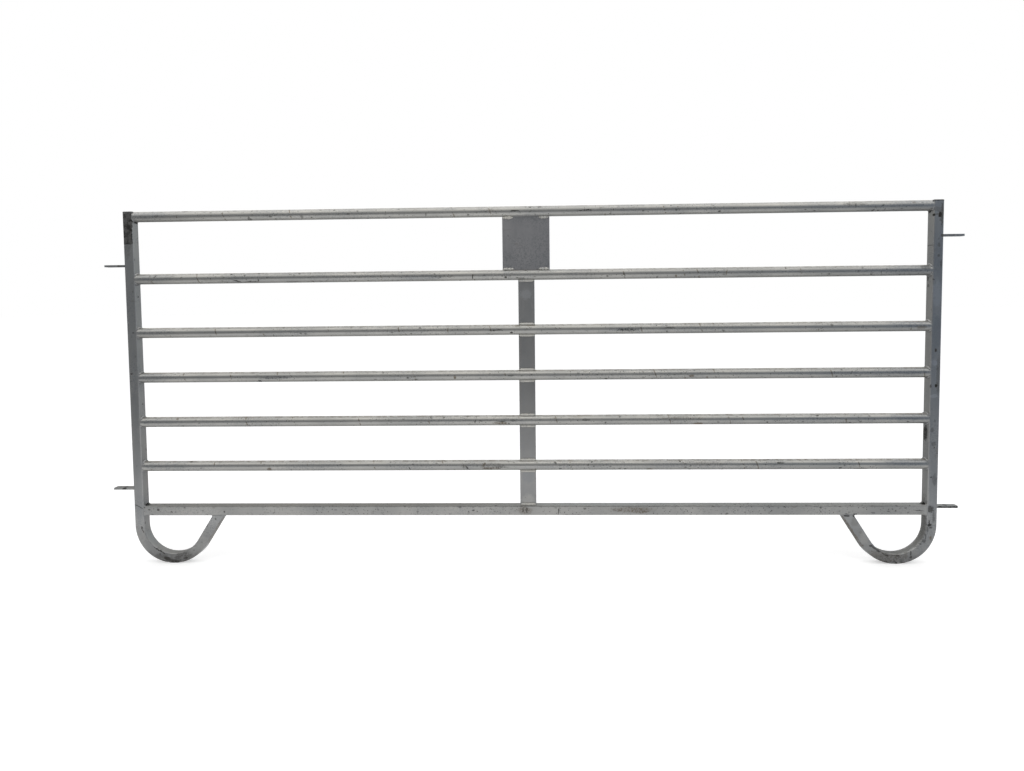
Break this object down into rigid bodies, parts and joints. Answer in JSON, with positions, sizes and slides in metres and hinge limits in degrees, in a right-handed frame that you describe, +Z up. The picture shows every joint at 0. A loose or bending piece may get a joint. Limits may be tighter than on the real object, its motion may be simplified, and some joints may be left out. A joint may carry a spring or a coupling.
{
  "type": "livestock rail panel",
  "caption": "Portable livestock yard panel: round rails welded between posts bent into skid feet, with a flat-bar centre brace, a bare plate and end lugs for drop pins.",
  "frame": {"origin": "on the ground under the middle of the panel, half way through its depth", "axes": "+X along the rails, to the right seen from the front; +Y from front to back; +Z up"},
  "size_m": [2.634, 0.0318, 1.1113],
  "materials": {
    "galvanised_box": "galvanised, weathered and scuffed",
    "galvanised_tube": "galvanised, smooth, with specks and stains",
    "galvanised_flat": "galvanised, dull",
    "weld_metal": "zinc-coated weld bead",
    "black_plastic": "moulded, weathered"
  },
  "bodies": {
    "root": {"upright_left": "galvanised_box", "upright_right": "galvanised_box", "bottom_rail": "galvanised_box", "rail_1": "galvanised_tube", "rail_2": "galvanised_tube", "rail_3": "galvanised_tube", "rail_4": "galvanised_tube", "rail_5": "galvanised_tube", "rail_6": "galvanised_tube", "name_plate": "galvanised_flat", "brace_1": "galvanised_flat", "brace_2": "galvanised_flat", "brace_3": "galvanised_flat", "brace_4": "galvanised_flat", "brace_5": "galvanised_flat", "lug_left_upper": "galvanised_flat", "lug_left_lower": "galvanised_flat", "lug_right_upper": "galvanised_flat", "lug_right_lower": "galvanised_flat", "rail_welds_left": "weld_metal", "rail_welds_right": "weld_metal", "foot_welds": "weld_metal", "brace_welds": "weld_metal", "plate_tack_welds": "weld_metal", "lug_welds": "weld_metal", "post_plugs": "black_plastic"}
  },
  "joints": []
}
